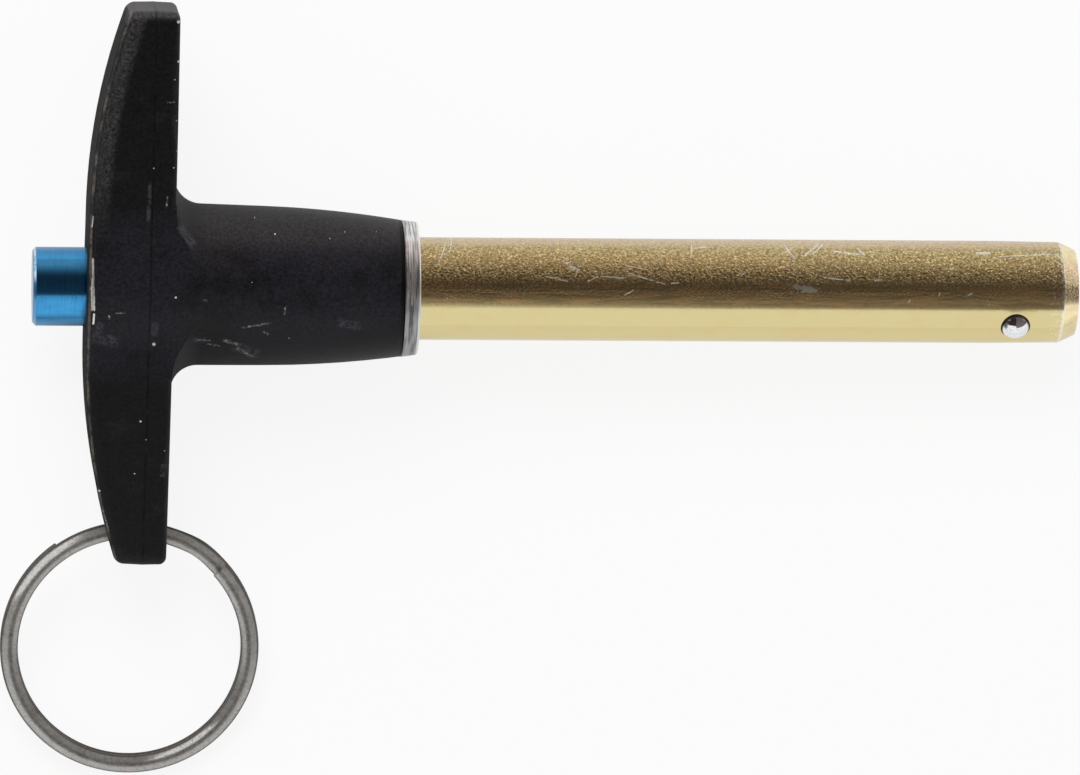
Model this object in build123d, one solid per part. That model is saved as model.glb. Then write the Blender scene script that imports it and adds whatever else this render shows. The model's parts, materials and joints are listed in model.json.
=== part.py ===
from build123d import *
import math
import os

# A ball lock pin with a T handle and a split ring, in millimetres.
# It is drawn with the shank along +X, the front face of the collar at x = 0, the grip
# bar along Y and the bar's broad sides facing up and down, and is laid down at the end.

# shank
shank_radius = 6.33
shank_seat_radius = 6.55
grip_length = 71.7
nose_length = 8.0
nose_drop = 0.10
tip_chamfer_length = 1.9
tip_chamfer_drop = 0.9
tip_bore_chamfer = 0.3
shank_head_radius = 7.25
shank_head_length = 2.5
shank_head_depth = 19.0

# locking balls and the spindle that works them
ball_radius = 1.985
ball_proud = 1.10
ball_past_grip = 2.1
ball_direction = 35.0
button_stroke = 5.0
ball_stroke = 1.2
spindle_land_past_ball = 2.7
spindle_ramp_overrun = 1.1
spindle_body_radius = 3.2
spindle_stub_radius = 2.5
spindle_stub_length = 8.1
spindle_groove_flat = 1.6

# running and seating clearances
ball_clearance = 0.035
ball_seat_clearance = 0.02
spindle_clearance = 0.035
button_clearance = 0.08
button_end_clearance = 0.05
seat_clearance = 0.02
ring_turn_gap = 0.05
ring_ground_gap = 0.09

# collar
collar_thickness = 2.05
collar_back_radius = 8.45
collar_front_radius = 8.05
collar_edge = 0.15

# handle: the grip bar
bar_half_length = 34.3
bar_finger_x = -30.2
bar_palm_x = -40.75
bar_step_below_hub = 1.15
bar_end_half_depth = 6.15
boss_cover = 0.08
boss_arc_radius = 14.0
boss_blend_radius = 10.0
palm_land_half_length = 8.0
palm_arc_radius = 81.0
parting_to_finger = 3.0
draft_angle = 2.0
bar_corner_round = 1.6
palm_round = 1.4
finger_round = 0.9

# handle: the hub
hub_radius = 9.95
hub_flare_round = 3.4
hub_front_radius = 8.42
hub_crown_start = -19.0
hub_draft = 1.0
hub_trim = 0.3
handle_skew = -0.84

# button
button_radius = 4.85
button_proud = 6.55
button_edge = 0.4
button_flange_radius = 6.3
button_flange_thickness = 1.6
palm_wall = 3.7
button_cavity_radius = 6.6

# return spring
spring_wire_radius = 0.4
spring_coil_radius = 4.9
spring_turns = 7
spring_end_gap = 0.05

# split ring
ring_outer_radius = 16.0
ring_wire_width = 2.2
ring_wire_height = 1.1
ring_free_end_angle = 44.0
ring_jog_angle = 84.0
ring_skew = 1.4
ring_hole_radius = 2.15
ring_hole_to_end = 3.5

# values that follow from the sizes above
ball_x = grip_length + ball_past_grip
ball_rest_height = shank_radius + ball_proud - ball_radius
nose_end_x = grip_length + nose_length
tip_x = nose_end_x + tip_chamfer_length
nose_end_radius = shank_radius - nose_drop
spindle_land_radius = ball_rest_height - ball_radius - ball_seat_clearance
shank_bore_radius = spindle_land_radius + spindle_clearance
head_back_x = -shank_head_depth
head_front_x = head_back_x + shank_head_length
handle_bore_radius = shank_head_radius + seat_clearance
flange_back_x = bar_palm_x + palm_wall + button_end_clearance
flange_front_x = flange_back_x + button_flange_thickness
parting_x = bar_finger_x - parting_to_finger
hub_start_x = bar_finger_x + hub_flare_round
ring_wire_circle = ring_outer_radius - ring_wire_width / 2
ring_hole_y = -(bar_half_length - ring_hole_to_end)
bar_half_depth = hub_radius - bar_step_below_hub
bar_end_drop = bar_half_depth - bar_end_half_depth
side_arc_radius = (bar_half_length**2 + bar_end_drop**2) / (2 * bar_end_drop)
boss_half_depth = hub_radius + boss_cover


def turned(*outline):
    """A solid of revolution about X from its (x, radius) corners."""
    return revolve(make_face(Polyline(*outline, close=True)), axis=Axis.X)


def across(angle):
    """The direction across the shank that lies this many degrees from straight up towards -Y."""
    return Vector(0, -math.sin(math.radians(angle)), math.cos(math.radians(angle)))


def hub_crown():
    """The long curve of the hub, which leaves its drafted part without a kink."""
    slope = math.radians(hub_draft)
    drop = (hub_crown_start - hub_start_x) * math.tan(slope)
    return TangentArc(
        (hub_crown_start, hub_radius - drop),
        (-collar_thickness, hub_front_radius),
        tangent=(math.cos(slope), -math.sin(slope)),
    )


# ---------------------------------------------------------------- lie of the pin
# The pin lies on its hub's crown, its nose and the broad side of the bar's ringed arm.
nose_from_crown = Vector(nose_end_x, nose_end_radius) - hub_crown().arc_center
pitch = math.degrees(
    math.asin(hub_crown().radius / nose_from_crown.length)
    - math.atan2(nose_from_crown.Y, nose_from_crown.X)
)
nose_to_bar = nose_end_x - parting_x
ground_below_bar = nose_end_radius + nose_to_bar * math.tan(math.radians(pitch))
roll_cosine = (side_arc_radius - ground_below_bar) / (side_arc_radius - bar_half_depth)
roll = math.degrees(math.acos(min(1.0, roll_cosine)))
lying = Rotation(0, pitch, 0) * Rotation(roll, 0, 0)

# The handle sits slightly askew on the shank, turned about the upright line through its front.
hub_front = Pos(-collar_thickness, 0, 0)
upright_turn = lying.inverse() * Rotation(0, 0, handle_skew) * lying
askew = hub_front * upright_turn * hub_front.inverse()


def height_above_ground(x, y, z):
    """How far a point of the drawn pin is above the ground once the pin lies on it."""
    nose_contact = Rotation(0, pitch, 0) * Pos(nose_end_x, 0, -nose_end_radius)
    return (lying * Pos(x, y, z)).position.Z - nose_contact.position.Z


def palm_x_at(y):
    """Where the palm side of the bar lies at a distance along it."""
    past_land = abs(y) - palm_land_half_length
    rise = palm_arc_radius - math.sqrt(palm_arc_radius**2 - max(0.0, past_land) ** 2)
    return bar_palm_x + rise


def ring_lean():
    """The slope at which the lower turn's oval wire lies on the ground at its far side."""
    far_side = Vector(2 * ring_wire_circle, (ring_wire_height + ring_turn_gap) / 2)
    start = height_above_ground(ring_hole_x, ring_hole_y, 0) - ring_ground_gap
    lean = 0.0
    for _ in range(5):
        wire_below = math.hypot(
            ring_wire_width / 2 * math.sin(lean), ring_wire_height / 2 * math.cos(lean)
        )
        fall = start - wire_below
        lean = math.asin(fall / far_side.length) - math.atan2(far_side.Y, far_side.X)
    return math.degrees(lean)


# The ring hangs in its hole, and its far side lies on the ground.
ring_hole_x = (palm_x_at(ring_hole_y) + bar_finger_x) / 2
ring_slope = ring_lean()
ring_droop = ring_slope - roll


# ---------------------------------------------------------------- handle
def bar_outline():
    """The bar seen from the palm: two long crowned sides that swell in the middle to take the hub."""
    half = bar_half_length
    end = bar_end_half_depth
    long_sides = make_face(
        Curve()
        + [
            ThreePointArc((-half, end), (0, bar_half_depth), (half, end)),
            ThreePointArc((-half, -end), (0, -bar_half_depth), (half, -end)),
            Line((half, end), (half, -end)),
            Line((-half, -end), (-half, end)),
        ]
    )
    centre = boss_half_depth - boss_arc_radius
    boss = (Pos(0, centre) * Circle(boss_arc_radius)) & (Pos(0, -centre) * Circle(boss_arc_radius))
    boss &= Rectangle(2 * boss_arc_radius, 2 * boss_half_depth)
    outline = (long_sides + boss).clean()
    corners = outline.vertices().filter_by(lambda v: abs(v.X) > half - bar_corner_round)
    outline = fillet(corners, bar_corner_round)
    feet = outline.vertices().filter_by(lambda v: abs(v.X) < half / 2)
    return fillet(feet, boss_blend_radius)


def bar_prism(direction, length):
    """The bar's outline, drawn out from the parting line with draft."""
    plane = Plane(origin=(parting_x, 0, 0), x_dir=(0, 1, 0), z_dir=(direction, 0, 0))
    return extrude(plane * bar_outline(), amount=length, taper=draft_angle)


def bar_side_form():
    """The bar seen along its depth: a straight finger side and a crowned palm side."""
    reach = bar_half_length + bar_corner_round
    land = palm_land_half_length
    crown = TangentArc(
        (bar_palm_x, land), (palm_x_at(reach), reach), tangent=(0, 1)
    )
    outline = Curve() + [
        crown,
        crown.mirror(Plane.XZ),
        Line((bar_palm_x, -land), (bar_palm_x, land)),
        Line((palm_x_at(reach), reach), (bar_finger_x, reach)),
        Line((bar_finger_x, reach), (bar_finger_x, -reach)),
        Line((bar_finger_x, -reach), (palm_x_at(reach), -reach)),
    ]
    return extrude(make_face(outline), amount=boss_half_depth + boss_cover, both=True)


def rim(faces):
    """The edges that run once round a patch of faces."""
    edges = [edge for face in faces for edge in face.edges()]
    return [e for e in edges if sum(e.is_same(other) for other in edges) == 1]


def grip_bar():
    reach = bar_half_length
    blank = bar_prism(1, reach) + bar_prism(-1, reach)
    bar = blank & bar_side_form()
    finger_faces = [f for f in bar.faces() if f.normal_at().X > 0.9]
    bar = fillet(rim(finger_faces), finger_round)
    palm_faces = [f for f in bar.faces() if f.normal_at().X < -0.9]
    return fillet(rim(palm_faces), palm_round)


def hub():
    """The hub, which starts at the bar's parting line, just inside the bar's swollen middle."""
    crown = hub_crown()
    front_x = hub_trim - collar_thickness
    outline = Curve() + [
        Line((parting_x, 0), (parting_x, hub_radius)),
        Line((parting_x, hub_radius), (hub_start_x, hub_radius)),
        Line((hub_start_x, hub_radius), crown @ 0),
        crown,
        Line((-collar_thickness, hub_front_radius), (front_x, hub_front_radius)),
        Line((front_x, hub_front_radius), (front_x, 0)),
        Line((front_x, 0), (parting_x, 0)),
    ]
    return revolve(make_face(outline), axis=Axis.X)


def hub_flare():
    """The hollow curve from the bar's finger side to the hub, cut off flush with the bar."""
    root_x = parting_x
    top = hub_radius + hub_flare_round
    sweep_x = hub_start_x - hub_flare_round * math.sin(math.radians(45))
    sweep_r = top - hub_flare_round * math.cos(math.radians(45))
    outline = Curve() + [
        Line((root_x, 0), (root_x, top)),
        Line((root_x, top), (bar_finger_x, top)),
        ThreePointArc((bar_finger_x, top), (sweep_x, sweep_r), (hub_start_x, hub_radius)),
        Line((hub_start_x, hub_radius), (hub_start_x, 0)),
        Line((hub_start_x, 0), (root_x, 0)),
    ]
    flare = revolve(make_face(outline), axis=Axis.X)
    return flare & bar_prism(1, parting_to_finger + 2 * hub_flare_round)


def handle():
    casting = grip_bar() + hub() + hub_flare()
    ring_hole = Pos(ring_hole_x, ring_hole_y, 0) * Rot(0, 90, 0) * Cylinder(
        ring_hole_radius, 2 * (bar_finger_x - bar_palm_x)
    )
    collar_room = turned(
        (-collar_thickness, 0),
        (-collar_thickness, hub_radius),
        (hub_trim, hub_radius),
        (hub_trim, 0),
    )
    bore = turned(
        (bar_palm_x - palm_wall, 0),
        (bar_palm_x - palm_wall, button_radius + button_clearance),
        (bar_palm_x + palm_wall, button_radius + button_clearance),
        (bar_palm_x + palm_wall, button_cavity_radius),
        (head_back_x, button_cavity_radius),
        (head_back_x, handle_bore_radius),
        (0, handle_bore_radius),
        (0, 0),
    )
    return askew * (casting - ring_hole) - collar_room - bore


# ---------------------------------------------------------------- collar
def collar():
    """A turned rim outside the hub, with a skirt pressed into the hub's bore."""
    bore = shank_seat_radius + seat_clearance
    return turned(
        (head_front_x, bore),
        (head_front_x, shank_head_radius),
        (-collar_thickness, shank_head_radius),
        (-collar_thickness, collar_back_radius - collar_edge),
        (collar_edge - collar_thickness, collar_back_radius),
        (-collar_edge, collar_front_radius + collar_edge),
        (0, collar_front_radius),
        (0, bore),
    )


# ---------------------------------------------------------------- shank
def ball_pockets():
    """Two pockets across the shank, closed to a lip just under each ball's widest place."""
    radius = ball_radius + ball_clearance
    pockets = Cylinder(radius, 2 * ball_rest_height)
    for side in (-1, 1):
        pockets += Pos(0, 0, side * ball_rest_height) * Sphere(radius)
    return Pos(ball_x, 0, 0) * Rot(ball_direction, 0, 0) * pockets


def shank():
    tube = turned(
        (head_back_x, shank_bore_radius),
        (head_back_x, shank_head_radius),
        (head_front_x, shank_head_radius),
        (head_front_x, shank_seat_radius),
        (0, shank_seat_radius),
        (0, shank_radius),
        (grip_length, shank_radius),
        (nose_end_x, nose_end_radius),
        (tip_x, nose_end_radius - tip_chamfer_drop),
        (tip_x, shank_bore_radius + tip_bore_chamfer),
        (tip_x - tip_bore_chamfer, shank_bore_radius),
    )
    return tube - ball_pockets()


# ---------------------------------------------------------------- spindle
def spindle():
    """The land holds the balls out. The ramp behind it lets them in as the button is pressed."""
    slope = ball_stroke / button_stroke
    ramp_end_x = ball_x + ball_radius * math.tan(math.atan(slope) / 2)
    ramp_length = button_stroke + spindle_ramp_overrun
    ramp_start_x = ramp_end_x - ramp_length
    groove_radius = spindle_land_radius - slope * ramp_length
    groove_x = ramp_start_x - spindle_groove_flat
    shoulder_x = groove_x - (spindle_body_radius - groove_radius)
    end_x = ball_x + spindle_land_past_ball
    stub = spindle_stub_radius - seat_clearance
    return turned(
        (flange_front_x - spindle_stub_length, 0),
        (flange_front_x - spindle_stub_length, stub),
        (flange_front_x, stub),
        (flange_front_x, spindle_body_radius),
        (shoulder_x, spindle_body_radius),
        (groove_x, groove_radius),
        (ramp_start_x, groove_radius),
        (ramp_end_x, spindle_land_radius),
        (end_x - tip_bore_chamfer, spindle_land_radius),
        (end_x, spindle_land_radius - tip_bore_chamfer),
        (end_x, 0),
    )


# ---------------------------------------------------------------- button
def button():
    """The push button, with a flange that stops against the inside of the palm wall."""
    end_x = bar_palm_x - button_proud
    socket_x = flange_front_x - spindle_stub_length
    return turned(
        (end_x, 0),
        (end_x, button_radius - button_edge),
        (end_x + button_edge, button_radius),
        (flange_back_x, button_radius),
        (flange_back_x, button_flange_radius),
        (flange_front_x, button_flange_radius),
        (flange_front_x, spindle_stub_radius),
        (socket_x, spindle_stub_radius),
        (socket_x, 0),
    )


# ---------------------------------------------------------------- return spring
def return_spring():
    start_x = flange_front_x + spring_wire_radius + spring_end_gap
    height = head_back_x - spring_wire_radius - spring_end_gap - start_x
    coil = Helix(
        pitch=height / spring_turns,
        height=height,
        radius=spring_coil_radius,
        center=(start_x, 0, 0),
        direction=(1, 0, 0),
    )
    wire = Plane(origin=coil @ 0, z_dir=coil % 0) * Circle(spring_wire_radius)
    return sweep(wire, path=coil)


# ---------------------------------------------------------------- balls
def lock_ball(side):
    centre = across(ball_direction) * (side * ball_rest_height)
    return Pos(ball_x, centre.Y, centre.Z) * Sphere(ball_radius)


# ---------------------------------------------------------------- split ring
def split_ring():
    """Two flat turns of wire, joined by a long jog that steps down from one to the other."""
    step = (ring_wire_height + ring_turn_gap) / 2
    turn = 360 - ring_jog_angle
    jog_start = ring_free_end_angle + ring_jog_angle
    radius = ring_wire_circle

    def on_jog(share):
        angle = math.radians(jog_start - share * ring_jog_angle)
        height = step * math.cos(math.pi * share)
        return Vector(radius * math.cos(angle), radius * math.sin(angle), height)

    upper = CenterArc((0, 0, step), radius, ring_free_end_angle, -turn)
    lower = CenterArc((0, 0, -step), radius, ring_free_end_angle, -turn)
    jog = Spline(
        *[on_jog(share / 4) for share in range(5)],
        tangents=[upper % 1, lower % 0],
    )
    path = Wire([upper, jog, lower])
    section = Plane(origin=path @ 0, x_dir=(path @ 0) - Vector(0, 0, step), z_dir=path % 0)
    wire = section * Ellipse(ring_wire_width / 2, ring_wire_height / 2)
    ring = sweep(wire, path=path)
    hang = Rotation(ring_droop, 0, 0) * Rotation(0, 0, -ring_skew)
    return askew * Pos(ring_hole_x, ring_hole_y, 0) * hang * Pos(0, -radius, 0) * ring


parts = {
    "handle": handle(),
    "collar": collar(),
    "shank": shank(),
    "spindle": spindle(),
    "button": button(),
    "return_spring": return_spring(),
    "lock_ball_1": lock_ball(1),
    "lock_ball_2": lock_ball(-1),
    "split_ring": split_ring(),
}

# The pin is laid down, with the middle of its box over the origin and its lowest point at z = 0.
laid = {name: lying * shape for name, shape in parts.items()}
box = Compound([shape.solid() for shape in laid.values()]).bounding_box()
to_origin = Pos(-box.center().X, -box.center().Y, -box.min.Z)

os.makedirs("parts", exist_ok=True)
for name, shape in laid.items():
    export_step(to_origin * shape, f"parts/{name}.step")
print(f"pitch {pitch:.2f}, roll {roll:.2f}, ring slope {ring_slope:.2f}, droop {ring_droop:.2f}")
print("box", box.size)
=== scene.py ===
from functools import reduce
import json
import math

import bmesh
import bpy
from mathutils import Matrix, Vector


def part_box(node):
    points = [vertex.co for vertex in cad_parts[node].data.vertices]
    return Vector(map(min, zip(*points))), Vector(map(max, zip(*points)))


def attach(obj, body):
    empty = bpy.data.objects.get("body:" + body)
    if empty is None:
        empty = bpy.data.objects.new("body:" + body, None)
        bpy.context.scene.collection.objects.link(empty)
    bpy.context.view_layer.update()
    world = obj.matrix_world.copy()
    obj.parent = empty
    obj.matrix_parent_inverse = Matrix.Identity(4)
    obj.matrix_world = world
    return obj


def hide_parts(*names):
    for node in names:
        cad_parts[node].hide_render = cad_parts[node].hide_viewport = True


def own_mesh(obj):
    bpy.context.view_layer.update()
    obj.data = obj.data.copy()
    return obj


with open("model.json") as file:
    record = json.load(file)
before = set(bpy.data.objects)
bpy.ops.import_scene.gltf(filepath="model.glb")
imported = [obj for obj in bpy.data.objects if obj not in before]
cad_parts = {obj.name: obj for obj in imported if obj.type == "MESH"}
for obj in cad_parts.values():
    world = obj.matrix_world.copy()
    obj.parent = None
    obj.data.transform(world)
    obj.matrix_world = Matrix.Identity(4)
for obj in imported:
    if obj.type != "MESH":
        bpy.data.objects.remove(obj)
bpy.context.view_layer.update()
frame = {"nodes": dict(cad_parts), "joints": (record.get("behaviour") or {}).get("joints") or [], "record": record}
mounts = {mount["name"]: mount for mount in frame["record"]["mounts"]}
joints = {joint["name"]: joint for joint in frame["joints"]}
mm = 0.001


# The pin lies a little pitched and rolled, so everything is placed in its own directions:
# along the shank from the collar's face, side along the grip bar, up out of its broad side.
def pinAxes():
    start = Vector(mounts["shank"]["pos_m"])
    along = Vector(mounts["shank"]["axis"]).normalized()
    toHole = Vector(joints["ring_swing"]["pos_m"]) - start
    side = -(toHole - along * toHole.dot(along)).normalized()
    return {"start": start, "along": along, "side": side, "up": along.cross(side)}


pin = pinAxes()


def onPin(along, side=0.0, up=0.0):
    return pin["start"] + (pin["along"] * along + pin["side"] * side + pin["up"] * up) * mm


class Wire:
    # one output of a node, used in plain arithmetic
    def __init__(self, graph, socket):
        self.graph = graph
        self.socket = socket

    def __add__(self, other):
        return self.graph.calculate("ADD", self, other)

    def __sub__(self, other):
        return self.graph.calculate("SUBTRACT", self, other)

    def __rsub__(self, other):
        return self.graph.calculate("SUBTRACT", other, self)

    def __mul__(self, other):
        return self.graph.calculate("MULTIPLY", self, other)

    def __truediv__(self, other):
        return self.graph.calculate("DIVIDE", self, other)

    def __rtruediv__(self, other):
        return self.graph.calculate("DIVIDE", other, self)

    def __pow__(self, other):
        return self.graph.calculate("POWER", self, other)

    def __rpow__(self, other):
        return self.graph.calculate("POWER", other, self)

    def __neg__(self):
        return self.graph.calculate("MULTIPLY", self, -1)

    __radd__ = __add__
    __rmul__ = __mul__

    def size(self):
        return self.graph.calculate("ABSOLUTE", self)

    def atMost(self, other):
        return self.graph.calculate("MINIMUM", self, other)

    def atLeast(self, other):
        return self.graph.calculate("MAXIMUM", self, other)

    def rise(self, low, high):
        # 0 below low, 1 above high, smooth between; the other way round where low is the larger
        settings = {"interpolation_type": "SMOOTHSTEP"}
        return self.graph.add("ShaderNodeMapRange", settings, {"Value": self, 1: low, 2: high})

    def band(self, middle, half, soft):
        # 1 within half of the middle, falling to 0 over soft
        return (self - middle).size().rise(half + soft, half)


class Graph:
    # the nodes of a material or of the world
    def __init__(self, tree):
        self.tree = tree
        self.tree.nodes.clear()

    def feed(self, socket, value):
        if isinstance(value, Wire):
            self.tree.links.new(value.socket, socket)
        elif hasattr(value, "__len__") and socket.type == "RGBA":
            socket.default_value = (*value, 1)
        else:
            socket.default_value = value

    def add(self, kind, settings=None, inputs=None, output=0):
        # any node: its settings first, then the values or links of its sockets
        node = self.tree.nodes.new(kind)
        for name, value in (settings or {}).items():
            setattr(node, name, value)
        for name, value in (inputs or {}).items():
            self.feed(node.inputs[name], value)
        return Wire(self, node.outputs[output]) if node.outputs else None

    def calculate(self, operation, *values):
        return self.add("ShaderNodeMath", {"operation": operation}, dict(enumerate(values)))

    def vector(self, operation, *values, output=0):
        settings = {"operation": operation}
        return self.add("ShaderNodeVectorMath", settings, dict(enumerate(values)), output)

    def join(self, x, y, z):
        return self.add("ShaderNodeCombineXYZ", None, {0: x, 1: y, 2: z})

    def mix(self, factor, a, b):
        settings = {"data_type": "RGBA", "clamp_factor": True}
        return self.add("ShaderNodeMix", settings, {0: factor, 6: a, 7: b}, 2)

    def shade(self, color, value):
        # a colour made lighter or darker by a number that varies
        return self.vector("MULTIPLY", color, self.join(value, value, value))

    def noise(self, point, scale, detail, roughness):
        inputs = {"Vector": point, "Scale": scale, "Detail": detail, "Roughness": roughness}
        return self.add("ShaderNodeTexNoise", None, inputs)

    def specks(self, point, scale, reach, share):
        # scattered dots: a share of the cells have one, each out to reach of its cell
        inputs = {"Vector": point, "Scale": scale, "Randomness": 1.0}
        distance = self.add("ShaderNodeTexVoronoi", None, inputs, "Distance")
        chance = self.add("ShaderNodeTexVoronoi", None, inputs, "Color")
        drawn, sizes = (self.add("ShaderNodeSeparateColor", None, {0: chance}, i) for i in range(2))
        edge = sizes * reach + reach * 0.3
        return (distance / edge).rise(1.0, 0.6) * drawn.rise(share, share * 0.98)


class Finish(Graph):
    # a material, with the place on the pin in millimetres as its coordinates
    def __init__(self, name, fixed=None):
        self.material = bpy.data.materials.new(name)
        self.material.use_nodes = True
        super().__init__(self.material.node_tree)
        shader = self.add("ShaderNodeBsdfPrincipled", None, fixed)
        self.add("ShaderNodeOutputMaterial", None, {0: shader})
        self.shader = shader.socket.node
        self.here = self.add("ShaderNodeTexCoord", output="Object")
        offset = self.vector("SUBTRACT", self.here, pin["start"])
        self.along, self.side, self.up = (self.reach(offset, way) for way in ("along", "side", "up"))
        self.point = self.join(self.along, self.side, self.up)
        self.fromAxis = (self.side * self.side + self.up * self.up) ** 0.5

    def reach(self, offset, way):
        # how far an offset goes in one of the pin's directions, in millimetres
        return self.vector("DOT_PRODUCT", offset, pin[way] / mm, output="Value")

    def set(self, values):
        for name, value in values.items():
            self.feed(self.shader.inputs[name], value)
        return self.material

    def stretched(self, along, side, up):
        return self.join(self.along * along, self.side * side, self.up * up)

    def bump(self, height, depth):
        return self.add("ShaderNodeBump", None, {"Height": height, "Distance": depth * mm})

    def fromMark(self, mark):
        # how far ahead of a mark's middle, and how far across it; the mark lies in plan
        along, side, angle = mark[:3]
        run = math.cos(math.radians(angle))
        climb = math.sin(math.radians(angle))
        ahead = (self.along - along) * run + (self.side - side) * climb
        across = (self.side - side) * run - (self.along - along) * climb
        return ahead, across

    def stroke(self, mark):
        ahead, across = self.fromMark(mark)
        length, width = mark[3:]
        return across.band(0, width * 0.2, width * 0.4) * ahead.band(0, length * 0.35, length * 0.2)

    def strokes(self, marks):
        return reduce(Wire.atLeast, (self.stroke(mark) for mark in marks))

    def oval(self, mark, ragged):
        ahead, across = self.fromMark(mark)
        length, width = mark[3:]
        flat = self.join(ahead * (2 / length), across * (2 / width), 0)
        return (self.vector("LENGTH", flat, output="Value") + ragged).rise(1.0, 0.75)

    def dot(self, mark):
        along, side, reach = mark
        flat = self.join(self.along, self.side, 0)
        distance = self.vector("DISTANCE", flat, (along, side, 0), output="Value")
        return distance.rise(reach, reach * 0.55)

    def dots(self, marks):
        return reduce(Wire.atLeast, (self.dot(mark) for mark in marks))


# handle: black satin, chipped and scuffed on the side that faces up

handleLook = {
    "black": (0.0060, 0.0058, 0.0062),
    "tint": (0.0125, 0.0118, 0.0165),
    "warm": (0.0170, 0.0145, 0.0130),
    # the next three colours paint light: dust with a painted sheen on the hub, a painted sheen for the end face
    # and palm band, a painted highlight for the palm edge's rim
    "dustAndSheen": (0.034, 0.031, 0.030),
    "worn": (0.050, 0.048, 0.047),
    "rim": (0.22, 0.18, 0.14),
    "scuffed": (0.085, 0.084, 0.098),
    "scratched": (0.36, 0.35, 0.35),
    "bareMetal": (0.88, 0.86, 0.82),
    "chip": (0.80, 0.80, 0.82),
    "seam": (0.001, 0.001, 0.001),
    "specular": 0.19,
    "roughness": 0.5,
    "skew": math.radians(0.84),  # how far out of square to the shank the casting is
    "partingAlong": -33.2,
    "hubBack": -29.0,
    "hubFront": -2.05,
    "endSide": 33.6,
    # the palm edge: its middle, the radius of its arc, and the half length of its flat
    "palmAlong": -40.75,
    "palmRadius": 81.0,
    "palmLand": 8.0,
    # in millimetres on the pin: along, side, reach
    "chips": [
        (-30.00, 33.55, 0.24), (-29.95, 28.75, 0.20), (-30.40, 26.60, 0.12), (-30.15, 21.60, 0.11),
        (-32.90, 15.85, 0.13), (-30.45, 15.90, 0.10), (-30.05, 17.90, 0.09), (-30.10, 0.22, 0.17),
        (-38.20, -2.25, 0.11), (-32.65, -5.75, 0.26), (-20.30, 9.25, 0.08), (-17.90, 7.60, 0.12),
        (-11.20, 7.10, 0.08), (-9.30, 7.75, 0.07), (-5.40, 7.70, 0.08), (-34.15, -15.40, 0.17),
        (-33.45, -17.70, 0.09), (-34.80, -22.00, 0.11), (-31.15, -19.10, 0.09), (-39.05, -24.30, 0.18),
        (-20.80, 2.10, 0.07), (-16.10, -5.00, 0.09),
    ],
    # along, side, angle, length, width
    "scratches": [
        (-20.25, -3.30, 9.5, 3.8, 0.30), (-19.00, -4.30, -35, 0.9, 0.32), (-26.50, -0.12, 0, 0.6, 0.26),
        (-25.30, -6.00, -10, 1.8, 0.26), (-23.10, -5.65, -19, 2.4, 0.50), (-21.40, -7.10, -34, 2.6, 0.50),
        (-31.25, 11.75, 86, 1.5, 0.26), (-30.85, 23.85, 0, 1.0, 0.18), (-36.80, -1.80, 0, 1.2, 0.20),
        (-16.75, -1.40, 85, 1.2, 0.26), (-38.25, -27.90, -74, 3.2, 0.26), (-38.20, -2.30, 80, 0.6, 0.36),
        (-26.60, -5.30, -4, 2.0, 0.22),
    ],
    "scuffs": [
        (-39.40, -3.90, 80, 2.0, 1.1), (-38.50, -5.20, -12, 3.6, 1.7), (-32.60, -3.80, 88, 1.9, 1.1),
        (-31.30, -21.60, 86, 1.8, 0.8), (-28.80, 7.55, -53, 3.4, 1.0), (-8.80, -3.20, -12, 3.2, 1.3),
        (-27.20, -5.30, 0, 2.0, 0.8), (-35.70, 33.80, 20, 1.8, 1.1), (-21.30, -6.70, -20, 3.8, 1.5),
        (-33.40, 11.60, 88, 5.0, 0.6),
    ],
    "bareEdge": [
        (-40.18, 3.45, 91, 3.0, 0.30), (-40.20, 1.75, 90, 1.7, 0.40), (-40.18, -0.10, 92, 3.4, 0.60),
        (-40.05, -2.60, 87, 1.6, 0.30), (-40.25, 9.20, 84, 1.6, 0.16),
    ],
}


def palmEdge(finish, look):
    # along in the casting's own direction, and how far inside its bowed palm edge
    ownAlong = finish.along - finish.side * look["skew"]
    ownSide = finish.side + (finish.along - look["hubFront"]) * look["skew"]
    beyond = (ownSide.size() - look["palmLand"]).atLeast(0)
    bow = look["palmRadius"] - (look["palmRadius"] ** 2 - beyond * beyond) ** 0.5
    return ownAlong, ownAlong - look["palmAlong"] - bow


def satinGround(finish, look, ownAlong, drift, grain):
    # violet in the middle, brownish in drifts, a painted sheen over dust on the hub's plain-arm flank and painted
    # shade on its ring-side flank, and a painted sheen on the plain arm's end face
    cloud = finish.noise(finish.point, 0.16, 3, 0.55)
    middle = finish.side.size().rise(12, 7)
    onHub = ownAlong.rise(look["hubBack"], look["hubBack"] + 3)
    onEnd = finish.side.rise(look["endSide"], look["endSide"] + 0.7)
    base = finish.mix(middle * cloud.rise(0.25, 0.55), look["black"], look["tint"])
    base = finish.mix(drift.rise(0.52, 0.72) * 0.35, base, look["warm"])
    # painted sheen over dust on the hub's plain-arm flank
    base = finish.mix(finish.side.rise(5.0, 7.6) * onHub * 0.55, base, look["dustAndSheen"])
    # painted shade on the hub's ring-side flank
    base = finish.shade(base, 1 - finish.side.rise(-3, -7) * onHub * 0.6)
    # painted sheen: the plain arm's end face made lighter
    return finish.mix(onEnd * (grain + 0.3), base, look["worn"])


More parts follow.
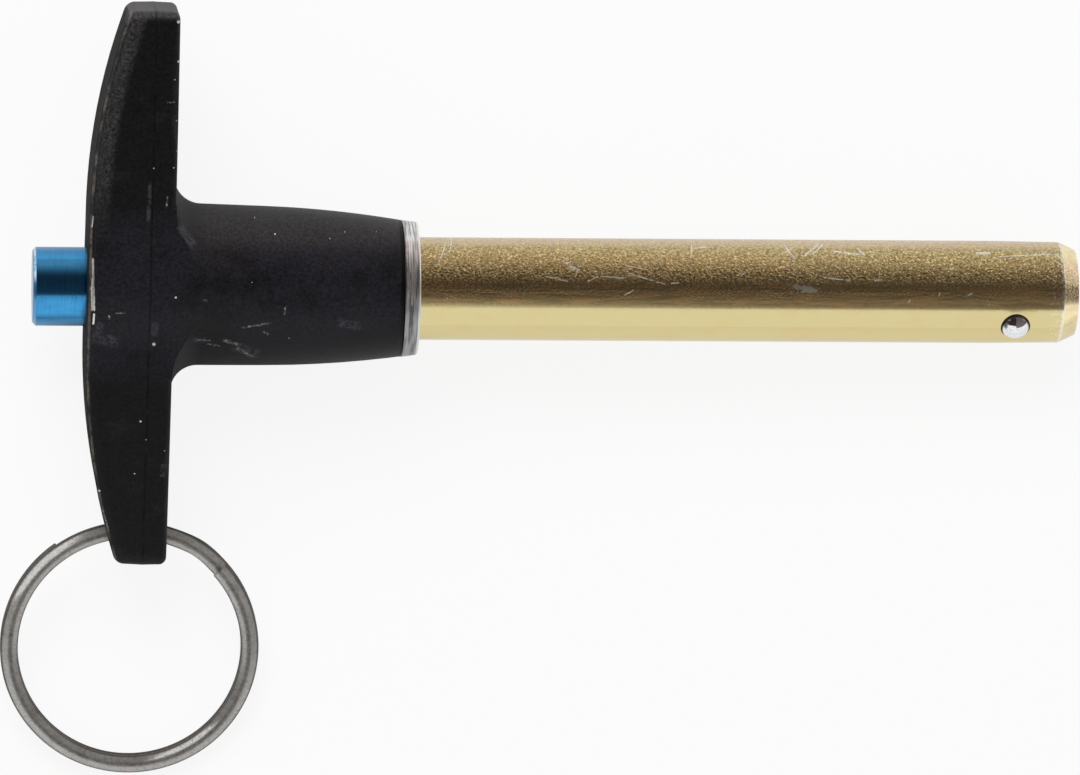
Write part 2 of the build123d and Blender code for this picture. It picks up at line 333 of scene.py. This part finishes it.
def palmWear(finish, look, base, fromPalm, drift):
    # a band of dust with a painted sheen inside the palm edge, a painted highlight along its rim, and a lighter
    # line down the palm's face in the same colour
    speckled = finish.noise(finish.point, 3.2, 4, 0.75).rise(0.40, 0.62)
    # dust with a painted sheen: a speckled lighter band inside the palm edge on the plain arm
    dustAndSheen = fromPalm.band(1.25, 0.35, 1.2) * finish.side.rise(6, 16) * finish.up.rise(0, 1)
    # painted highlight along the palm edge's rim
    rim = fromPalm.band(0.22, 0.08, 0.14) * finish.up.size().rise(3.4, 4.6)
    rim = rim * drift.rise(0.38, 0.58) * (speckled * 0.6 + 0.4)
    crease = fromPalm.rise(0.20, 0.05) * finish.up.band(-2.6, 0.12, 0.18) * drift.rise(0.40, 0.62)
    base = finish.mix(dustAndSheen * (speckled * 0.65 + 0.25), base, look["worn"])
    return finish.mix((rim * 0.55).atLeast(crease * 0.3), base, look["rim"])


def satinMarks(finish, look):
    # soft scuffs, thin broken scratches and bright chips, all but a few pricks on the upper side
    frayed = finish.noise(finish.point, 1.6, 4, 0.75).rise(0.36, 0.66)
    broken = finish.noise(finish.point, 3.4, 4, 0.7).rise(0.44, 0.60)
    ragged = finish.noise(finish.point, 4.5, 3, 0.7).rise(0.36, 0.52)
    pricks = finish.specks(finish.point, 0.6, 0.035, 0.30) * 0.3
    facesUp = finish.up.rise(0, 1)
    scuffed = finish.strokes(look["scuffs"]) * frayed * facesUp * 0.55
    scratched = finish.strokes(look["scratches"]) * broken * facesUp * 0.7
    chipped = finish.dots(look["chips"]) * (ragged * 0.7 + 0.3) * facesUp
    return scuffed, scratched, chipped.atLeast(pricks)


def bareEdge(finish, look):
    # beside the button the palm edge is worn to bare metal
    torn = finish.noise(finish.stretched(1.6, 1.0, 1.0), 2.2, 4, 0.75)
    bare = finish.strokes(look["bareEdge"]) * finish.up.rise(5, 7) * (torn * 2.2 - 0.15)
    return bare.rise(0.44, 0.60)


def blackSatin(look):
    finish = Finish("blackSatin", {"Specular IOR Level": look["specular"]})
    drift = finish.noise(finish.stretched(0.5, 1.0, 1.0), 0.4, 3, 0.5)
    grain = finish.noise(finish.point, 2.6, 4, 0.68)
    fine = finish.noise(finish.point, 7.0, 3, 0.6)
    ownAlong, fromPalm = palmEdge(finish, look)
    scuffed, scratched, chipped = satinMarks(finish, look)
    bare = bareEdge(finish, look)

    # fine lines: the gap before the collar, the parting line round the bar, and a moulded one
    gap = finish.along.rise(look["hubFront"] - 0.55, look["hubFront"] - 0.30)
    parting = ownAlong.band(look["partingAlong"], 0.06, 0.12) * finish.fromAxis.rise(4, 6)
    parting = parting * drift.rise(0.25, 0.55)
    mould = fromPalm.band(0.62, 0.05, 0.14) * finish.side.rise(3, 9)

    base = satinGround(finish, look, ownAlong, drift, grain)
    base = palmWear(finish, look, base, fromPalm, drift)
    base = finish.shade(base, 0.52 + grain.rise(0.30, 0.70) * 0.96)
    base = finish.mix(scuffed, base, look["scuffed"])
    base = finish.mix(scratched, base, look["scratched"])
    base = finish.mix(chipped * 0.8, base, look["chip"])
    base = finish.mix(bare, base, look["bareMetal"])
    base = finish.mix((gap * 0.9).atLeast(parting * 0.5), base, look["seam"])
    roughness = look["roughness"] + (grain - 0.5) * 0.2 + scuffed * 0.1 - bare * 0.2
    roughness = roughness + fromPalm.rise(0.20, 0.05) * (1 - bare) * 0.35
    relief = grain * 0.7 + fine * 0.6 - chipped * 1.2 - scratched * 0.6
    relief = relief - parting * 2.0 - mould * 2.4 - gap
    return finish.set({
        "Base Color": base,
        "Roughness": roughness,
        "Metallic": bare,
        "Normal": finish.bump(relief, 0.05),
    })


# turned steel: collar and spindle

steelLook = {
    "light": (0.88, 0.88, 0.87),
    "dark": (0.24, 0.24, 0.235),
    # edge: the colour of the front edge's painted highlight and of the nicks
    "edge": (0.93, 0.93, 0.92),
    "roughness": 0.30,
    "ringsPerMm": 3.4,
    "rimLength": 2.05,
    # along, side, angle, length, width
    "nicks": [
        (-1.10, 5.70, 90, 2.0, 0.15), (-1.30, 4.10, 90, 2.2, 0.13), (-1.35, 1.50, 90, 1.6, 0.16),
        (-1.15, -0.20, 91, 1.4, 0.12), (-0.75, 3.00, 89, 2.6, 0.10), (-1.70, 2.60, 90, 7.0, 0.12),
    ],
}


def turnedSteel(look):
    finish = Finish("turnedSteel", {"Metallic": 1.0})
    rings = finish.noise(finish.stretched(look["ringsPerMm"], 0.15, 0.15), 1, 3, 0.6)
    stain = finish.noise(finish.point, 0.6, 3, 0.6)
    onRim = finish.fromAxis.rise(6, 7)
    blend = rings.rise(0.38, 0.60) * 0.85 + stain.rise(0.4, 0.6) * 0.15
    base = finish.mix(blend, look["dark"], look["light"])
    # painted shade: the rim darker on its ring-side flank
    base = finish.shade(base, 1 - finish.side.rise(0.4, -1.6) * onRim * 0.58)
    # painted highlight along the collar's front edge
    edge = finish.along.rise(-0.36, -0.18) * onRim
    nicks = finish.strokes(look["nicks"]) * finish.up.rise(0, 1) * stain.rise(0.35, 0.5)
    base = finish.mix((edge * 0.7).atLeast(nicks * 0.9), base, look["edge"])
    seam = (finish.along + look["rimLength"]).rise(0.21, 0.07) * onRim
    base = finish.shade(base, 1 - seam * 0.92)
    roughness = look["roughness"] + (rings - 0.5) * 0.3 + stain * 0.08
    return finish.set({"Base Color": base, "Roughness": roughness, "Normal": finish.bump(rings, 0.06)})


# shank: yellow plating

plateLook = {
    "gold": (0.72, 0.615, 0.310),
    "olive": (0.30, 0.220, 0.095),
    "copper": (0.74, 0.46, 0.20),
    "pale": (0.92, 0.88, 0.80),
    # rose paints the reflection along the plain-arm edge and spots on the nose; amber and lemon are painted glints
    "rose": (0.80, 0.61, 0.42),
    "amber": (0.98, 0.68, 0.33),
    "lemon": (0.93, 0.82, 0.40),
    "tip": (0.98, 0.86, 0.47),
    "film": (0.50, 0.55, 0.50),
    "roughness": 0.14,
    "noseAlong": 79.60,
    # along, side, angle, length, width
    "scratches": [
        (21.30, 2.25, 25, 1.8, 0.16), (23.70, 2.45, -4, 3.4, 0.15), (28.00, 2.25, -16, 5.2, 0.15),
        (31.40, 1.80, 4, 1.2, 0.16), (25.70, 0.55, 30, 1.4, 0.15), (26.60, 3.60, -10, 3.2, 0.12),
        (48.50, 5.55, 30, 2.6, 0.20), (49.30, 5.60, 34, 1.8, 0.14), (52.80, 5.30, -6, 3.8, 0.18),
        (54.60, 5.40, -40, 1.2, 0.20), (69.80, 5.35, 0, 2.0, 0.30), (75.20, 5.15, 2, 7.0, 0.11),
        (51.40, 2.40, -7, 3.8, 0.22), (56.50, 2.30, 12, 1.1, 0.24), (33.60, 5.35, 78, 1.6, 0.14),
        (34.60, 5.70, 6, 2.0, 0.14), (45.80, 5.30, -50, 1.9, 0.18), (45.60, 5.50, 20, 1.8, 0.13),
        (2.80, 4.90, 62, 2.4, 0.15), (3.90, 5.60, 70, 1.6, 0.12), (60.40, -0.30, 60, 0.5, 0.14),
        (64.10, 0.50, 75, 0.6, 0.14), (67.90, 0.60, 30, 0.7, 0.14), (39.80, 2.90, 40, 0.9, 0.14),
        (16.90, 2.20, -12, 3.2, 0.14),
    ],
    "scrubbed": [
        (18.70, 3.70, -30, 1.8, 0.9), (19.40, 3.30, 60, 1.4, 0.5), (45.90, 4.60, 70, 1.4, 0.7),
    ],
    "filmMark": (47.40, 1.20, -9, 4.0, 0.9),
}


def plateGround(finish, look, cloud, drawn, grain):
    # smooth and pale on one flank, olive and crystalline with painted glints on the other, streaked between, and a
    # painted reflection along the plain-arm edge
    upper = finish.side.rise(1.0, 3.0)
    between = finish.side.rise(-1.20, -0.75) * finish.side.rise(2.6, 1.2)
    streaks = drawn.rise(0.36, 0.64)
    mottled = grain.rise(0.62, 0.38)
    # painted glints: crystals on the plain-arm flank that catch the light, amber towards the collar and lemon
    # towards the tip
    glints = finish.noise(finish.point, 3.4, 2, 0.5).rise(0.57, 0.66) * finish.side.rise(6.0, 5.2)
    glint = finish.mix(finish.along.rise(32, 56), look["amber"], look["lemon"])
    base = finish.mix(cloud.rise(0.45, 0.75) * 0.2, look["gold"], look["copper"])
    base = finish.mix(between * streaks * 0.7, base, look["copper"])
    base = finish.mix(between * (1 - streaks) * 0.55, base, look["olive"])
    base = finish.mix(upper * (mottled * 0.75 + 0.22), base, look["olive"])
    base = finish.mix(upper * glints, base, glint)
    # painted reflection: a rosy rim along the plain-arm edge
    return finish.mix(finish.side.rise(5.5, 6.1) * 0.5, base, look["rose"])


def plateNose(finish, look, base, cloud, grain):
    # the chamfered nose is bare of crystals and rubbed at its corner, with painted shade on its ring-side flank
    nose = (finish.along - look["noseAlong"]).rise(-0.05, 0.15)
    worn = finish.along.band(look["noseAlong"], 0.10, 0.16) * grain.rise(0.35, 0.55)
    rubbed = finish.along.band(look["noseAlong"] - 0.7, 0.5, 0.6) * grain.rise(0.54, 0.62)
    base = finish.mix(nose, base, finish.mix(cloud.rise(0.35, 0.70), look["tip"], look["rose"]))
    # painted shade on the nose's ring-side flank
    base = finish.shade(base, 1 - nose * finish.side.rise(-2, -4) * 0.22)
    return finish.mix(worn.atLeast(rubbed * 0.6) * 0.8, base, look["pale"])


def plateMarks(finish, look, grain):
    # scratches and scrubbed patches, pits, and one dull film
    broken = finish.noise(finish.point, 2.4, 4, 0.7).rise(0.34, 0.52)
    scrubbed = finish.strokes(look["scrubbed"]) * grain.rise(0.50, 0.58)
    strokes = (finish.strokes(look["scratches"]) * broken).atLeast(scrubbed) * finish.up.rise(-1, 0)
    pits = finish.specks(finish.point, 1.0, 0.12, 0.34) * finish.side.rise(-1.20, -0.75)
    film = finish.oval(look["filmMark"], grain * 2.6 - 1.3) * finish.up.rise(-1, 0)
    return strokes, pits * finish.up.rise(-1, 1), film


def yellowPlate(look):
    finish = Finish("yellowPlate", {"Metallic": 1.0})
    cloud = finish.noise(finish.stretched(0.5, 1, 1), 0.5, 3, 0.55)
    drawn = finish.noise(finish.stretched(0.22, 2.4, 2.4), 1, 4, 0.62)
    grain = finish.noise(finish.point, 2.8, 4, 0.72)
    crystals = finish.noise(finish.point, 3.8, 3, 0.6)
    strokes, pits, film = plateMarks(finish, look, grain)
    base = plateGround(finish, look, cloud, drawn, grain)
    base = plateNose(finish, look, base, cloud, grain)
    base = finish.mix(film * 0.65, base, look["film"])
    base = finish.mix(strokes.atLeast(pits * 0.6), base, look["pale"])
    dulled = film * 0.35 + strokes * 0.25 + pits * 0.2 + finish.side.band(0.2, 0.5, 0.7) * 0.10
    roughness = look["roughness"] + (grain - 0.5) * 0.10 + dulled
    raised = crystals.rise(0.40, 0.74) * (0.34 + finish.side.rise(1.0, 3.0) * 0.34)
    relief = (raised + drawn * 0.3) * finish.side.rise(-0.7, 1.0) + grain * 0.08 - strokes * 0.3
    return finish.set({"Base Color": base, "Roughness": roughness, "Normal": finish.bump(relief, 0.06)})


# button: blue anodised

blueLook = {
    "blue": (0.052, 0.345, 0.68),
    "deep": (0.030, 0.225, 0.52),
    # bare: the colour of the painted highlight along the end's edge
    "bare": (0.86, 0.93, 0.97),
    "roughness": 0.16,
    "coat": 0.35,
    "coatRoughness": 0.12,
    "ringsPerMm": 4.0,
    "endAlong": -47.30,
    "rimRadius": 4.85,
}


def blueAnodised(look):
    fixed = {"Metallic": 1.0, "Coat Weight": look["coat"], "Coat Roughness": look["coatRoughness"]}
    finish = Finish("blueAnodised", fixed)
    rings = finish.noise(finish.stretched(look["ringsPerMm"], 0.25, 0.25), 1, 3, 0.6)
    cloud = finish.noise(finish.stretched(0.5, 1, 1), 0.9, 4, 0.65)
    hairs = finish.noise(finish.stretched(0.3, 5, 5), 1, 2, 0.5).rise(0.60, 0.72)
    shade = rings.rise(0.35, 0.75) * 0.35 + cloud.rise(0.35, 0.7) * 0.35 + hairs * 0.3
    base = finish.mix(shade, look["blue"], look["deep"])

    # a painted highlight along the end's edge, pale as bare metal, strongest on one side, the plain arm's
    edge = finish.along.band(look["endAlong"] + 0.16, 0.10, 0.16)
    edge = edge * (finish.fromAxis - look["rimRadius"]).rise(-0.4, -0.2)
    edge = edge * (finish.side.rise(0.6, 2.4) * 0.9 + 0.15) * cloud.rise(0.30, 0.55)
    base = finish.mix(edge, base, look["bare"])
    roughness = look["roughness"] + (rings - 0.5) * 0.12 + cloud * 0.05
    return finish.set({"Base Color": base, "Roughness": roughness, "Normal": finish.bump(rings, 0.008)})


# locking balls: bright, with painted shade where they sit in the shank

ballLook = {
    "light": (0.86, 0.86, 0.87),
    "dark": (0.66, 0.66, 0.67),
    "grime": (0.020, 0.017, 0.015),
    "roughness": 0.05,
    "seatRadius": 6.60,
}


def ballChrome(look):
    finish = Finish("ballChrome", {"Metallic": 1.0})
    film = finish.noise(finish.point, 3.0, 3, 0.6)
    hairs = finish.noise(finish.stretched(2, 14, 2), 1, 3, 0.6)
    base = finish.mix(film.rise(0.4, 0.8), look["light"], look["dark"])
    # painted shade: a dark ring round each ball where it meets its seat
    grime = (finish.fromAxis - look["seatRadius"]).rise(0.10, -0.06) * finish.side.rise(-5.3, -4.7)
    base = finish.mix(grime * 0.95, base, look["grime"])
    roughness = look["roughness"] + film * 0.05 + hairs.rise(0.6, 0.8) * 0.08 + grime * 0.3
    return finish.set({"Base Color": base, "Roughness": roughness, "Normal": finish.bump(hairs, 0.002)})


# split ring: grey steel wire

wireLook = {
    "light": (0.36, 0.345, 0.320),
    "dark": (0.14, 0.130, 0.120),
    # deep is painted shade in the trough and at the wire's edges; rubbed is a painted highlight
    "deep": (0.050, 0.046, 0.042),
    "rubbed": (0.90, 0.88, 0.85),
    "roughness": 0.36,
    # distances from the ring's middle
    "innerEdge": 13.85,
    "innerBand": 14.28,
    "trough": 14.88,
    "outerBand": 15.42,
    "outerEdge": 15.95,
}


def ringSteel(look):
    finish = Finish("ringSteel")
    low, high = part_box("split_ring")
    middle = (low + high) / 2
    fromMiddle = finish.vector("DISTANCE", finish.here, middle, output="Value") / mm
    away = finish.vector("SUBTRACT", finish.here, middle)
    toTip = finish.reach(away, "along")
    toHub = finish.reach(away, "side")
    cloud = finish.noise(finish.point, 0.35, 3, 0.6)
    grain = finish.noise(finish.point, 2.4, 4, 0.7)
    hairs = finish.noise(finish.point, 5.0, 4, 0.75).rise(0.36, 0.60)
    stain = cloud.rise(0.35, 0.7) * 0.4 + grain.rise(0.40, 0.66) * 0.5
    base = finish.mix(stain, look["light"], look["dark"])

    # two painted highlight bands with a painted dark trough between them, and two spots where the painted
    # highlights are brighter
    farHalf = toHub.rise(2, -6)
    palmSpot = (toHub - toTip).rise(19.8, 21.2)
    fingerSpot = (toTip * 0.5 - toHub * 0.866).rise(13.3, 14.0)
    innerBand = fromMiddle.band(look["innerBand"], 0.10, 0.32) * (0.42 - farHalf * 0.34 + fingerSpot)
    outerBand = fromMiddle.band(look["outerBand"], 0.15, 0.38) * (0.26 + farHalf * 0.16 + palmSpot)
    rubbed = innerBand.atLeast(outerBand) * (hairs * 0.6 + 0.4)
    # painted shade: a dark trough between the bands
    trough = fromMiddle.band(look["trough"], 0.10, 0.30) * (0.25 + grain * 0.35)
    # painted shade at the wire's inner and outer edges
    inside = (fromMiddle - look["innerEdge"]).rise(0.22, 0)
    outside = (fromMiddle - look["outerEdge"]).rise(-0.24, -0.04)
    base = finish.mix(trough.atLeast(inside).atLeast(outside) * 0.8, base, look["deep"])
    base = finish.mix(rubbed.atMost(0.95), base, look["rubbed"])
    return finish.set({
        "Base Color": base,
        "Roughness": look["roughness"] + (grain - 0.5) * 0.2,
        "Metallic": 0.5 - rubbed.atMost(1) * 0.35,
        "Normal": finish.bump(grain, 0.04),
    })


# return spring: a coil built in place of the imported one

springLook = {
    "light": (0.46, 0.46, 0.47),
    "dark": (0.26, 0.25, 0.25),
    "roughness": 0.34,
    # radii in millimetres
    "wire": 0.4,
    "coil": 4.9,
    "turns": 7.5,
    "closedTurns": 0.9,
    "stepsPerTurn": 40,
    "sides": 12,
}


def springSteel(look):
    finish = Finish("springSteel", {"Metallic": 1.0})
    cloud = finish.noise(finish.point, 0.9, 3, 0.6)
    drawn = finish.noise(finish.point, 6.0, 3, 0.6)
    base = finish.mix(cloud.rise(0.3, 0.7) * 0.6 + drawn * 0.3, look["light"], look["dark"])
    roughness = look["roughness"] + (drawn - 0.5) * 0.2
    return finish.set({"Base Color": base, "Roughness": roughness, "Normal": finish.bump(drawn, 0.01)})


def springEnds(look):
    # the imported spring's box is square to the room, so it reaches past the tilted coil's ends
    low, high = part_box("return_spring")
    corners = [Vector((x, pin["start"].y, z)) for x in (low.x, high.x) for z in (low.z, high.z)]
    reaches = [(corner - pin["start"]).dot(pin["along"]) / mm for corner in corners]
    slack = (look["coil"] + look["wire"]) * abs(pin["along"].z / pin["along"].x)
    return min(reaches) + slack + look["wire"], max(reaches) - slack - look["wire"]


def coilAlong(look, turn, first, last):
    # the wire's place after some turns: closed turns at both ends, open ones between
    turns = look["turns"]
    closed = look["closedTurns"]
    closedSoFar = min(turn, closed) + max(turn - (turns - closed), 0)
    openShare = min(max((turn - closed) / (turns - 2 * closed), 0), 1)
    openRun = last - first - 4 * look["wire"] * closed
    return first + 2 * look["wire"] * closedSoFar + openRun * openShare


def wireSection(look, turn, along):
    # points round the wire at one turn of the coil
    angle = math.tau * turn
    for corner in range(look["sides"]):
        around = math.tau * corner / look["sides"]
        radius = look["coil"] + look["wire"] * math.cos(around)
        lengthways = along + look["wire"] * math.sin(around)
        yield onPin(lengthways, radius * math.sin(angle), radius * math.cos(angle))


def returnSpring(look):
    first, last = springEnds(look)
    steps = int(look["turns"] * look["stepsPerTurn"])
    mesh = bmesh.new()
    sections = []
    for step in range(steps + 1):
        turn = look["turns"] * step / steps
        points = wireSection(look, turn, coilAlong(look, turn, first, last))
        sections.append([mesh.verts.new(point) for point in points])
    for before, after in zip(sections, sections[1:]):
        for i in range(look["sides"]):
            j = (i + 1) % look["sides"]
            mesh.faces.new((before[i], before[j], after[j], after[i]))
    mesh.faces.new(sections[0][::-1])
    mesh.faces.new(sections[-1])
    bmesh.ops.recalc_face_normals(mesh, faces=mesh.faces)
    data = bpy.data.meshes.new("returnSpring")
    mesh.to_mesh(data)
    mesh.free()
    for face in data.polygons:
        face.use_smooth = len(face.vertices) == 4
    data.materials.append(springSteel(look))
    spring = bpy.data.objects.new("return_spring_coil", data)
    bpy.context.scene.collection.objects.link(spring)
    length = last - first + 2 * look["wire"]
    travel = joints["button_press"]["range_m"][1] / mm
    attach(spring, "body")
    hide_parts("return_spring")
    anchor = onPin(last + look["wire"])
    1 - travel / length
    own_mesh(spring)


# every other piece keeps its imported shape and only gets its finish

def dress():
    finishes = [
        (["handle"], blackSatin, handleLook),
        (["collar", "spindle"], turnedSteel, steelLook),
        (["shank"], yellowPlate, plateLook),
        (["button"], blueAnodised, blueLook),
        (["lock_ball_1", "lock_ball_2"], ballChrome, ballLook),
        (["split_ring"], ringSteel, wireLook),
    ]
    for names, makeFinish, look in finishes:
        print("finish:", ", ".join(names))
        material = makeFinish(look)
        for name in names:
            slots = frame["nodes"][name].data.materials
            slots.clear()
            slots.append(material)


dress()
print("return spring")
returnSpring(springLook)


# floor, light and camera

paperLook = {
    "tone": 0.88,
    "half": 3.0,
    "drop": -0.02,
    "whiteShare": 0.88,  # what the camera sees of the floor is this much plain white
    "mirroredShare": 0.7,
}


def floor(look):
    half = look["half"]
    data = bpy.data.meshes.new("floor")
    corners = [(-half, -half, 0), (half, -half, 0), (half, half, 0), (-half, half, 0)]
    data.from_pydata(corners, [], [(0, 1, 2, 3)])
    plane = bpy.data.objects.new("floor", data)
    plane.location.z = look["drop"] * mm
    bpy.context.scene.collection.objects.link(plane)
    material = bpy.data.materials.new("palePaper")
    material.use_nodes = True
    graph = Graph(material.node_tree)
    paper = graph.add("ShaderNodeBsdfDiffuse", None, {"Color": (look["tone"],) * 3})
    glow = graph.add("ShaderNodeEmission", None, {"Color": (1, 1, 1), "Strength": 1.0})
    seen = graph.add("ShaderNodeLightPath", output="Is Camera Ray")
    mirrored = graph.add("ShaderNodeLightPath", output="Is Glossy Ray")
    place = graph.add("ShaderNodeTexCoord", output="Object")
    lengthways = graph.add("ShaderNodeSeparateXYZ", None, {0: place})
    # for glossy rays the floor also glows white on the tip's side, fading out under the handle: a glow seen only
    # in reflections
    white = seen * look["whiteShare"] + mirrored * lengthways.rise(-0.035, -0.01) * look["mirroredShare"]
    mixed = graph.add("ShaderNodeMixShader", None, {0: white, 1: paper, 2: glow})
    graph.add("ShaderNodeOutputMaterial", None, {0: mixed})
    data.materials.append(material)


# what metal sees: dark overhead, a bright sheet on the ring's side that is cut back towards
# the button, a dimmer wall behind, and bright and dim panels at the far ends
surroundLook = {
    "fill": 0.50,
    "overhead": (0.120, 0.104, 0.098),
    "overheadDark": (0.030, 0.018, 0.021),
    "sheet": (0.97, 0.98, 1.0),
    "behind": (0.74, 0.63, 0.60),
    "endsBright": (1.15, 1.13, 1.10),
    "endsDim": (0.14, 0.135, 0.13),
    # degrees from overhead
    "sheetFrom": 23,
    "sheetCut": 15.5,
    "behindFrom": 24,
    "behindTo": 76,
}


def surround(look):
    world = bpy.data.worlds.new("studio")
    world.use_nodes = True
    bpy.context.scene.world = world
    graph = Graph(world.node_tree)
    direction = graph.add("ShaderNodeTexCoord", output="Generated")
    x, y, z = (graph.add("ShaderNodeSeparateXYZ", None, {0: direction}, axis) for axis in range(3))
    lean = graph.calculate("ARCTAN2", -y, z) * math.degrees(1)
    past = x.rise(0.078, 0.108)
    overhead = graph.mix(past, look["overheadDark"], look["overhead"])
    overhead = graph.shade(overhead, 1 + lean.rise(-20, 25) * 0.5)
    onSheet = (lean - past * look["sheetCut"] - look["sheetFrom"]).rise(0, 4)
    tone = graph.mix(onSheet, overhead, look["sheet"])
    tone = graph.mix((-lean).rise(look["behindFrom"], look["behindTo"]) ** 1.5, tone, look["behind"])
    nearEnd = (-x).rise(0.50, 0.75) * 0.4
    farEnd = x.rise(0.42, 0.62) * z.rise(0.5, 0.3)
    dim = (-x).rise(0.70, 0.90) * y.rise(0.1, -0.1)
    tone = graph.mix(dim, tone, look["endsDim"])
    tone = graph.mix(nearEnd.atLeast(farEnd) * y.rise(0.12, 0.34), tone, look["endsBright"])
    seen = graph.add("ShaderNodeLightPath", output="Is Camera Ray")
    glossy = graph.add("ShaderNodeLightPath", output="Is Glossy Ray")
    plain = graph.mix(seen, (look["fill"],) * 3, (1, 1, 1))
    color = graph.mix(glossy, plain, tone)
    background = graph.add("ShaderNodeBackground", None, {"Color": color, "Strength": 1.0})
    graph.add("ShaderNodeOutputWorld", None, {0: background})


lampLook = {
    "watts": 11.0,
    "size": 0.8,
    "place": (-0.25, 0.95, 0.95),
}


def softLamp(look):
    data = bpy.data.lights.new("softbox", "AREA")
    data.shape = "SQUARE"
    data.size = look["size"]
    data.energy = look["watts"]
    lamp = bpy.data.objects.new("softbox", data)
    lamp.visible_glossy = False
    bpy.context.scene.collection.objects.link(lamp)
    place = Vector(look["place"])
    turn = (-place).to_track_quat("-Z", "Y").to_matrix()
    lamp.matrix_world = Matrix.Translation(place) @ turn.to_4x4()


# straight down but for two small leans, in degrees, far off through a long lens
cameraLook = {
    "distance": 1.11,
    "leanToButton": 2.73,
    "leanToPlainArm": 2.25,
    "roll": 0.48,
    "lens": 299.55,
    "sensor": 36,
    "near": 0.05,
    "far": 20,
    "aim": (0.00006, 0.00058, 0.008),
}


def camera(look):
    data = bpy.data.cameras.new("camera")
    data.sensor_width = look["sensor"]
    data.lens = look["lens"]
    data.clip_start = look["near"]
    data.clip_end = look["far"]
    thing = bpy.data.objects.new("camera", data)
    bpy.context.scene.collection.objects.link(thing)
    toButton = math.tan(math.radians(look["leanToButton"]))
    toPlainArm = math.tan(math.radians(look["leanToPlainArm"]))
    back = Vector((-toButton, toPlainArm, 1)).normalized()
    across = Vector((0, 1, 0)).cross(back).normalized()
    turn = Matrix((across, back.cross(across), back)).transposed()
    turn = turn @ Matrix.Rotation(math.radians(look["roll"]), 3, "Z")
    place = Vector(look["aim"]) + back * look["distance"]
    thing.matrix_world = Matrix.Translation(place) @ turn.to_4x4()
    bpy.context.scene.camera = thing


print("floor")
floor(paperLook)
print("light")
surround(surroundLook)
softLamp(lampLook)
print("camera")
camera(cameraLook)
bpy.context.scene.view_settings.view_transform = "Standard"
